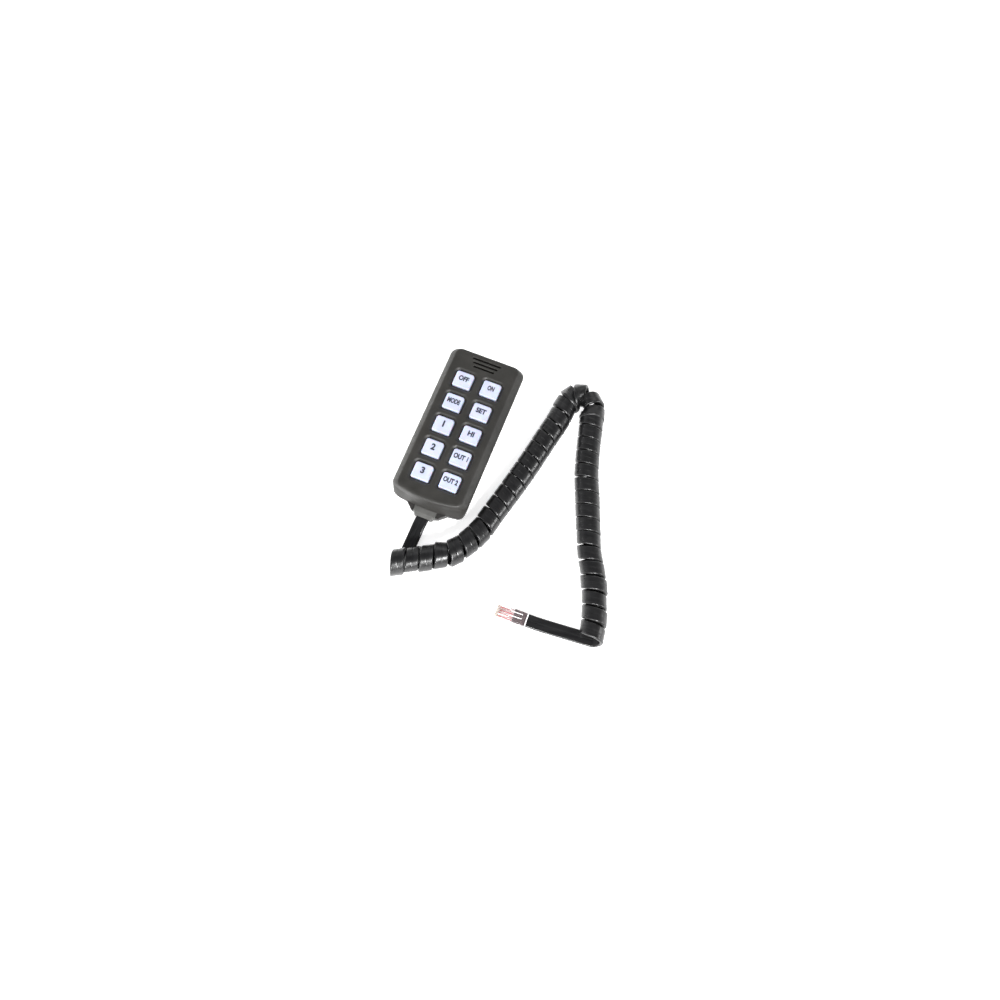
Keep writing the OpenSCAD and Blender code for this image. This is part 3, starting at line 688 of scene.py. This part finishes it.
def slot_cut(k, ceiling):
    """One grille slot with a rounded mouth, as a tool."""
    face, w, l = case_hi.z, SLOT_W, SLOT_L - k * SLOT_STEP
    y = case_hi.y - SLOT_INSET - k * SLOT_PITCH
    profile = [(0, ceiling - 1 * mm), (0, face - 0.45 * mm), (0.06 * mm, face - 0.2 * mm),
               (0.2 * mm, face - 0.05 * mm), (0.45 * mm, face + 0.02 * mm), (0.45 * mm, face + 1 * mm)]
    return stack([level(round_rect(l + 2 * d, w + 2 * d, w / 2 + d - 0.01 * mm), z, 0, y)
                  for d, z in profile])


def screw_places():
    """Centres of the four case screws."""
    _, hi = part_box("case_screws")
    return [(sx * (hi.x - SCREW_HEAD_R), sy * (hi.y - SCREW_HEAD_R)) for sx in (-1, 1) for sy in (-1, 1)]


def make_front(mat):
    """The front shell: its skin, hollow inside, the posts for the screws, the pockets and the grille."""
    rows = chaikin(FRONT_LEVELS)
    parting, ceiling = case_lo.z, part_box("key_off")[1].z - KEY_PROUD - FACE_T
    outer = rows_between(rows, parting + REVEAL, case_hi.z)
    inner = rows_between(rows, parting, ceiling)
    lip = rows_between(rows, parting, case_hi.z)[0]
    rings = [case_ring(r, WALL) for r in inner[::-1]]
    rings += [case_ring(lip, REVEAL), case_ring([parting + REVEAL, *lip[1:]], REVEAL)]
    rings += [case_ring(r) for r in outer]
    front = piece("handset_front", *stack(rings), mat)
    posts = [cylinder(x, y, FRONT_POST_R, parting + 0.5 * mm, ceiling + 0.5 * mm) for x, y in screw_places()]
    carve(front, posts, "UNION")
    carve(front, [key_cut(n, ceiling) for n in KEY_NAMES] + [slot_cut(k, ceiling) for k in range(SLOTS)])
    weighted(front)
    return front


def collar_solid(parting):
    """The collar that cradles the strain relief, narrowing away from the case."""
    half, collar_y, end_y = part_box("strain_relief")[1].x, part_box("rear_shell")[0].y, -case_hi.y
    profile = [(end_y + 2.5 * mm, half + 7 * mm, 1 * mm), (end_y + 0.6 * mm, half + 5.6 * mm, 1.1 * mm),
               (collar_y + 1.6 * mm, half + 2.9 * mm, 1.5 * mm),
               (collar_y + 0.5 * mm, half + 2 * mm, 1.9 * mm), (collar_y, half + 1 * mm, 2.6 * mm)]
    rings = []
    for y, hw, z in profile:
        high = parting - z
        outline = round_rect(2 * hw, high, min(2.4 * mm, high / 2.2), 6)
        outline[:, 1] = np.where(outline[:, 1] > 0, high / 2, outline[:, 1])   # square at the parting line
        rings.append(across_y(outline, y, (parting + z) / 2))
    return stack(rings)


def relief_cuts(parting):
    """The seat of the strain relief's block and the slot for its neck, as two tools."""
    lo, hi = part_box("strain_relief")
    w, top, end_y = 2 * hi.x + 0.2 * mm, parting + 1 * mm, -case_hi.y
    seat, neck = round_rect(w, 12 * mm, 0.4 * mm, 3), round_rect(w - 3.8 * mm, 8 * mm, 0.3 * mm, 3)
    return (stack([level(seat, z, 0, end_y - 5.5 * mm) for z in (lo.z - 0.1 * mm, top)]),
            stack([level(neck, z, 0, end_y + 1.1 * mm) for z in (lo.z + 0.9 * mm, top)]))


def label_recess():
    """The shallow recess for the label, with a sloped edge, as a tool."""
    lo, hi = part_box("rear_label")
    w, l = hi.x - lo.x + 0.2 * mm, hi.y - lo.y + 0.2 * mm
    profile = [(0.3 * mm, -1 * mm), (0.3 * mm, -0.01 * mm), (0, 0.2 * mm), (0, hi.z + 0.05 * mm)]
    return stack([level(round_rect(w + 2 * d, l + 2 * d, 2.1 * mm + d), z, 0, (lo.y + hi.y) / 2)
                  for d, z in profile])


def make_back(mat):
    """The rear shell: its hollow skin, the collar, the posts, and what is cut out for other parts."""
    rows = chaikin(BACK_LEVELS)
    parting = case_lo.z
    rings = [case_ring(r) for r in rows_between(rows, rows[0][0], parting)]
    rings += [case_ring(r, WALL) for r in rows_between(rows, WALL, parting)[::-1]]
    back = piece("handset_back", *stack(rings), mat)
    carve(back, [collar_solid(parting)], "UNION")
    carve(back, [cylinder(x, y, BACK_POST_R, 1.5 * mm, parting) for x, y in screw_places()], "UNION")
    for tool in relief_cuts(parting):
        carve(back, [tool])
    wells = [flared_cylinder(x, y, WELL_R, -0.5 * mm, 3 * mm, 0.35 * mm) for x, y in screw_places()]
    carve(back, [label_recess()] + wells)
    carve(back, [cylinder(x, y, HOLE_R, 2.5 * mm, parting + 1 * mm) for x, y in screw_places()])
    weighted(back)
    return back


# ---- Keys ----

HUB_R, HUB_L = 2.3 * mm, 1.6 * mm
ROLL_W, ROLL_D = 0.75 * mm, 0.6 * mm        # how far in and down a cap's top edge is rolled over
LEGEND_UP, LEGEND_T = 0.9 * mm, 0.05 * mm   # above the middle of the key, and thickness of the print
DIGIT_H, CAPITAL_H = 4.8 * mm, 3.8 * mm
LEGEND_WIDTHS = [3.0 * mm, 4.8 * mm, 7.2 * mm, 9.0 * mm, 10.3 * mm]   # at most, for one to five characters


def make_key(name, mat):
    """A key cap: a hub, a flange and a cap whose top edge is rolled over."""
    x, y, w, l, top = key_place(name)
    lo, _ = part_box(f"key_{name}")
    flange_z = lo.z + HUB_L
    hub = circle(HUB_R)
    rings = [level(hub, lo.z, x, y), level(hub, flange_z, x, y)]
    for d, z in [(FLANGE_OUT, flange_z), (FLANGE_OUT, flange_z + FLANGE_T), (0, flange_z + FLANGE_T),
                 (0, top - 2 * mm)]:
        rings.append(level(round_rect(w + 2 * d, l + 2 * d, KEY_R, foot=KEY_FOOT_R), z, x, y))
    for a in np.linspace(0, math.pi / 2, 8):
        d = -ROLL_W * (1 - math.cos(a))
        outline = round_rect(w + 2 * d, l + 2 * d, KEY_R + d * 0.6, foot=KEY_FOOT_R + d * 0.6)
        rings.append(level(outline, top - ROLL_D * (1 - math.sin(a)), x, y))
    cap = piece(f"cap_{name}", *stack(rings), mat, sharp=50)
    weighted(cap)
    return cap


def make_legend(name, mat):
    """A generic legend printed on a key, a little above its middle and narrowed where it is long."""
    x, y, _, _, top = key_place(name)
    text = LEGENDS[name]
    curve = bpy.data.curves.new("text", "FONT")
    curve.body, curve.size, curve.align_x = text, 1, "CENTER"
    curve.extrude, curve.offset = 0.02, 0.05
    curve.resolution_u = 4
    written = bpy.data.objects.new("text", curve)
    bpy.context.scene.collection.objects.link(written)
    bpy.context.view_layer.update()
    mesh = bpy.data.meshes.new_from_object(written.evaluated_get(bpy.context.evaluated_depsgraph_get()))
    bpy.data.objects.remove(written)
    p = np.array([v.co for v in mesh.vertices])
    high = DIGIT_H if len(text) == 1 else CAPITAL_H
    scale = np.array([LEGEND_WIDTHS[len(text) - 1], high, LEGEND_T]) / (p.max(0) - p.min(0))
    scale[0] = min(scale[0], scale[1])
    p = (p - (p.max(0) + p.min(0)) / 2) * scale + np.array([x, y + LEGEND_UP, top])
    mesh.vertices.foreach_set("co", p.ravel())
    bm = bmesh.new()
    bm.from_mesh(mesh)
    bmesh.ops.remove_doubles(bm, verts=bm.verts, dist=1e-7)
    bm.to_mesh(mesh)
    bm.free()
    legend = bpy.data.objects.new(f"legend_{name}", mesh)
    bpy.context.scene.collection.objects.link(legend)
    legend.data.materials.clear()
    legend.data.materials.append(mat)
    return legend


# ---- Strain relief and plug ----

def make_relief(mat):
    """The moulded block that holds the lead: a flange, a neck, the block and its stepped nose."""
    lo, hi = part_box("strain_relief")
    middle_z, half, h, block_y = (lo.z + hi.z) / 2, hi.x, hi.z - lo.z, -case_hi.y + 0.5 * mm
    # place along Y, half width and height
    profile = [(hi.y, half - 0.5 * mm, h - 1.4 * mm), (hi.y - 1.8 * mm, half - 0.5 * mm, h - 1.4 * mm),
               (hi.y - 1.8 * mm, half - 1.9 * mm, h - 2 * mm), (block_y, half - 1.9 * mm, h - 2 * mm),
               (block_y, half, h), (lo.y + 2.6 * mm, half - 0.1 * mm, h - 0.1 * mm),
               (lo.y + 2.2 * mm, half - 0.4 * mm, h - 0.5 * mm),
               (lo.y + 2.1 * mm, half - 1.2 * mm, h - 1.4 * mm),
               (lo.y + 0.9 * mm, half - 1.6 * mm, h - 2 * mm),
               (lo.y + 0.2 * mm, half - 2 * mm, h - 2.5 * mm), (lo.y, half - 2.5 * mm, h - 3.1 * mm)]
    rings = [across_y(round_rect(2 * hw, high, 0.9 * mm, 5), y, middle_z) for y, hw, high in profile]
    relief = piece("lead_relief", *stack(rings), mat, sharp=30)
    w, t, flare = LEAD_W + 0.3 * mm, LEAD_T + 0.3 * mm, 0.35 * mm
    mouth = [(hi.y + 1 * mm, 0), (lo.y + 0.5 * mm, 0), (lo.y - 0.01 * mm, flare), (lo.y - 1 * mm, flare)]
    carve(relief, [stack([across_y(round_rect(w + 2 * d, t + 2 * d, 1.1 * mm, 5), y, LEAD_PTS[0][2])
                          for y, d in mouth])], sharp=30)
    weighted(relief)
    return relief


# The plug is made with its cable end at the origin, along X, and then put in its place
PLUG_AT = Matrix.Translation((0.09, -0.1003, 0)) @ Matrix.Rotation(math.radians(182), 4, "Z")
PLUG_L, PLUG_W, PLUG_H = 21.46 * mm, 11.68 * mm, 6.6 * mm
SHELF_Z = PLUG_H - 1 * mm      # top of the plug's full width
RIM = 0.7 * mm                 # thickness of the rim round the cable's mouth
CONTACTS, CONTACT_PITCH, CABLE_Z = 8, 1.02 * mm, 3.1 * mm
WIRE_START = 9.4 * mm          # where the jacket ends
LATCH_X, LATCH_T, LATCH_ANGLE = PLUG_L - 2 * mm, 1.1 * mm, math.radians(11)
LATCH_HALF, LATCH_GAP = 3 * mm, 0.3 * mm
WIRE_COLOURS = [(0.5, 0.42, 0.42), (0.45, 0.09, 0.09), (0.5, 0.32, 0.31), (0.42, 0.05, 0.06),
                (0.5, 0.4, 0.4), (0.45, 0.1, 0.09), (0.5, 0.3, 0.3), (0.35, 0.045, 0.045)]


def bar(x0, x1, y0, y1, z0, z1, r=0.25 * mm):
    """A box with round upright edges, in the plug's own axes."""
    outline = round_rect(x1 - x0, y1 - y0, min(r, (x1 - x0) / 2.1, (y1 - y0) / 2.1), 3)
    return stack([level(outline, z, (x0 + x1) / 2, (y0 + y1) / 2) for z in (z0, z1)])


def lane(k):
    """Offset of one contact from the plug's middle."""
    return (k - (CONTACTS - 1) / 2) * CONTACT_PITCH


def lane_bars(x0, x1, half, z0, z1):
    """A bar in every contact's lane."""
    return [bar(x0, x1, lane(k) - half, lane(k) + half, z0, z1, 0.1 * mm) for k in range(CONTACTS)]


def bevelled(obj, width):
    """Rounds a piece's edges, in the last of its materials, which on the plug is the painted edge highlight.
    """
    modifier = obj.modifiers.new("bevel", "BEVEL")
    modifier.width, modifier.segments, modifier.limit_method = width, 2, "ANGLE"
    modifier.angle_limit, modifier.material = math.radians(40), len(obj.data.materials) - 1
    weighted(obj)


def make_plug_shell(mat, edge):
    """The plug's clear body, with its cable hole, its wires' channels and its contacts' slots; its rim and
    bevelled edges take a painted highlight.
    """
    half = PLUG_W / 2
    shell = piece("plug_shell", *bar(0, PLUG_L, -half, half, 0, SHELF_Z, 0.3 * mm), mat)
    upper = bar(1.2 * mm, PLUG_L, -half + 0.8 * mm, half - 0.8 * mm, 0.5 * mm, PLUG_H, 0.5 * mm)
    carve(shell, [upper], "UNION")
    # The rim round the cable's mouth takes the painted edge highlight.
    carve(shell, [bar(0, RIM, -half, half, 0, PLUG_H, 0.2 * mm)], "UNION", mat=edge)
    root = bar(LATCH_X + LATCH_T / 2 + LATCH_GAP, PLUG_L - 0.3 * mm, -LATCH_HALF, LATCH_HALF, SHELF_Z,
               PLUG_H + LATCH_T)
    carve(shell, [root], "UNION")
    w, t, flare = LEAD_W + 0.6 * mm, LEAD_T + 0.6 * mm, 0.8 * mm
    mouth = [(-1 * mm, flare), (0, flare), (0.8 * mm, 0), (10 * mm, 0)]
    carve(shell, [stack([across_x(round_rect(w + d, t + d, 0.6 * mm, 4), x, 0, CABLE_Z) for x, d in mouth])])
    carve(shell, lane_bars(WIRE_START, PLUG_L - 2 * mm, 0.47 * mm, CABLE_Z - 0.6 * mm, CABLE_Z + 0.6 * mm))
    carve(shell, lane_bars(PLUG_L - 4.2 * mm, PLUG_L + 1 * mm, 0.3 * mm, -1 * mm, 1.2 * mm))
    clamp = bar(3 * mm, 9 * mm, -2.5 * mm, 2.5 * mm, PLUG_H - 1.4 * mm, PLUG_H + 1 * mm)
    carve(shell, [clamp])
    bevelled(shell, 0.16 * mm)
    shell.data.transform(PLUG_AT)
    return shell


def make_plug_clip(mat, edge):
    """The springy latch: wide at its root and narrow at its finger end, with a shoulder on each side; the
    shoulders, the tip and the bevelled edges take a painted highlight.
    """
    xs = np.array([0, -1.5, -4, -7.1, -7.6, -8.4, -12, -15.6, -16.2, -16.4]) * mm
    halves = np.array([3, 3, 3, 3, 2.2, 1.65, 1.65, 1.65, 1.5, 1.2]) * mm
    half_thick = np.array([0.5, 0.5, 0.5, 0.52, 0.52, 0.52, 0.48, 0.42, 0.34, 0.25]) * mm

    def strip(offset, widths, extra=0.0):
        """A solid along the latch: the offset of its middle and its width at each station."""
        return stack([across_x(round_rect(w, 2 * t + extra, 0.2 * mm, 3), x, y)
                      for x, y, w, t in zip(xs, offset, widths, half_thick)])
    clip = piece("plug_clip", *strip(0 * xs, 2 * halves), mat)
    rail = 0.45 * mm * np.ones(len(xs))
    sides = [strip(side * (halves - rail / 2 + 0.02 * mm), rail, 0.08 * mm) for side in (-1, 1)]
    tip = bar(xs[-1] - 0.02 * mm, xs[-1] + 0.45 * mm, -1 * mm, 1 * mm, -0.4 * mm, 0.4 * mm)
    # The shoulders and the tip take the painted edge highlight.
    carve(clip, sides + [tip], "UNION", mat=edge)
    hinge = stack([across_y(circle(LATCH_T / 2, 24), y) for y in (-LATCH_HALF, LATCH_HALF)])
    carve(clip, [hinge], "UNION")
    bevelled(clip, 0.1 * mm)
    clip.data.transform(PLUG_AT @ Matrix.Translation((LATCH_X, 0, PLUG_H + LATCH_GAP + LATCH_T / 2))
                        @ Matrix.Rotation(LATCH_ANGLE, 4, "Y"))
    return clip


def make_contacts(mat):
    """Gold-plated blades with rounded shoulders."""
    a = np.linspace(0, math.pi / 2, 5)
    nose = np.stack([PLUG_L - 0.7 * mm + 0.4 * mm * np.sin(a), 0.6 * mm - 0.4 * mm * np.cos(a)], 1)
    side = np.vstack([nose, [(PLUG_L - 0.3 * mm, 1.2 * mm), (PLUG_L - 3.9 * mm, 1.2 * mm),
                             (PLUG_L - 3.9 * mm, 0.4 * mm), (PLUG_L - 3.7 * mm, 0.2 * mm)]])
    half = 0.17 * mm
    blades = [stack([across_y(side, lane(k) + y) for y in (-half, half)]) for k in range(CONTACTS)]
    made = piece("plug_blades", *joined(blades), mat)
    made.data.transform(PLUG_AT)
    return made


def make_conductors(mats):
    """Eight coloured conductors from the jacket to the contacts, each with a slight wave."""
    solids, counts, stations = [], [], 14
    ring = circle(0.4 * mm, 12)
    xs = np.linspace(WIRE_START + 0.2 * mm, PLUG_L - 2.3 * mm, stations)
    for k in range(CONTACTS):
        wave = 0.05 * mm * np.sin(np.linspace(0, 5, stations) + k)
        solids.append(stack([across_x(ring, x, lane(k) + v, CABLE_Z) for x, v in zip(xs, wave)]))
        counts.append(len(solids[-1][1]))
    made = piece("plug_conductors", *joined(solids), mats[0])
    for mat in mats[1:]:
        made.data.materials.append(mat)
    index = np.repeat(np.arange(CONTACTS), counts)
    made.data.polygons.foreach_set("material_index", index.astype(np.int32))
    made.data.transform(PLUG_AT)
    return made


# ---- Studio ----

def area_light(name, towards, distance, size, power, glossy=True):
    """A soft light that shines at the middle of the object from a direction."""
    middle = (cad_low + cad_high) / 2
    light = bpy.data.lights.new(name, "AREA")
    light.shape, light.size, light.size_y = "RECTANGLE", size[0], size[1]
    light.energy = power
    lamp = bpy.data.objects.new(name, light)
    lamp.location = middle + Vector(towards).normalized() * distance
    lamp.visible_glossy = glossy
    lamp.rotation_euler = (middle - lamp.location).to_track_quat("-Z", "Y").to_euler()
    bpy.context.scene.collection.objects.link(lamp)


def make_world(low_sky=0.85, high_sky=0.16):
    """A pale surround that darkens overhead, as round a shooting table."""
    world = bpy.data.worlds.new("world")
    world.use_nodes = True
    tree = world.node_tree
    split = tree.nodes.new("ShaderNodeSeparateXYZ")
    fade = node(tree, "ShaderNodeMapRange", From_Min=0.1, From_Max=0.8, To_Min=low_sky, To_Max=high_sky)
    tree.links.new(tree.nodes.new("ShaderNodeTexCoord").outputs["Generated"], split.inputs["Vector"])
    tree.links.new(split.outputs["Z"], fade.inputs["Value"])
    tree.links.new(fade.outputs["Result"], tree.nodes["Background"].inputs["Strength"])
    tree.nodes["Background"].inputs["Color"].default_value = (1, 1, 1, 1)
    bpy.context.scene.world = world


def make_studio():
    """The white floor, the surround and the lights."""
    mat, tree, shader = finish("floor", (0.85, 0.85, 0.85), 0.7, Emission_Color=(1, 1, 1, 1),
                               Emission_Strength=0.7)
    mottled(tree, shader, (0.845, 0.845, 0.845), (0.855, 0.855, 0.855), 0.3)
    grained(tree, shader, 1 * mm, 0.02 * mm)
    corners = [(-4, -4, 0), (4, -4, 0), (4, 4, 0), (-4, 4, 0)]
    floor = piece("floor", np.array(corners), [[0, 1, 2, 3]], mat)
    make_world()
    bpy.context.scene.view_settings.view_transform = "Standard"
    area_light("left", (-0.6, -0.5, 0.62), 1.0, (0.3, 0.3), 1.5, glossy=False)
    area_light("left_low", (-0.95, 0.05, 0.27), 1.0, (0.6, 0.25), 17, glossy=False)
    area_light("front", (0.4, -0.59, 0.7), 1.0, (0.16, 0.16), 12)
    area_light("front_low", (0.05, -0.93, 0.4), 1.0, (0.3, 0.12), 9)
    area_light("right_low", (0.97, 0.03, 0.3), 0.9, (0.25, 0.2), 3)
    area_light("top", (-0.1, 0.75, 0.8), 1.5, (1.2, 0.6), 3)


# ---- The object ----

case_lo, case_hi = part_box("front_shell")
make_camera()
mats = make_materials()
cord, cord_line = make_cord(mats["cord"])
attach(cord, "handset")
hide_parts("cord_lead", "cord_coil", "cord_tail")

front, back, relief = make_front(mats["front"]), make_back(mats["back"]), make_relief(mats["relief"])
CASE_PIECES = [(front, "front_shell", "case_front"), (back, "rear_shell", "case_rear"),
               (relief, "strain_relief", "relief_grey")]
for made, cad_node, slot_name in CASE_PIECES:
    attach(made, "handset")
    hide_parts(cad_node)

for key in KEY_NAMES:
    cap, legend = make_key(key, mats["key"]), make_legend(key, mats["ink"])
    for obj in (cap, legend):
        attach(obj, f"button_{key}")
    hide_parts(f"key_{key}")

wire_mats = [plastic(f"conductor_{k + 1}", tuple(0.7 * c for c in colour), colour, 0.35)
             for k, colour in enumerate(WIRE_COLOURS)]
# The edge material paints a highlight on the clear plug's edges, rim and latch shoulders.
PLUG_PIECES = [(make_plug_shell(mats["clear"], mats["edge"]), "plug_body", "plug_clear", "handset"),
               (make_plug_clip(mats["clear"], mats["edge"]), "plug_latch", "plug_clear", "latch"),
               (make_contacts(mats["gold"]), "plug_contacts", "contact_gold", "handset"),
               (make_conductors(wire_mats), "plug_wires", "wire_pvc", "handset")]
for made, cad_node, slot_name, body in PLUG_PIECES:
    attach(made, body)
    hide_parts(cad_node)

CAD_FINISHES = dict(tact_switches="switch", circuit_board="board", backlight_leds="lens",
                    controller_chip="chip", small_components="component", mic_capsule="capsule",
                    mic_boot="boot", dust_screen="screen", board_header="header", lead_connector="connector",
                    inner_wires="wires", case_screws="screw", board_screws="board_screw",
                    rear_label="label", **{f"plunger_{k}": "plunger" for k in KEY_NAMES})
for cad_node, finish_name in CAD_FINISHES.items():
    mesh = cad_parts[cad_node].data
    mesh.materials.clear()
    mesh.materials.append(mats[finish_name])

make_studio()
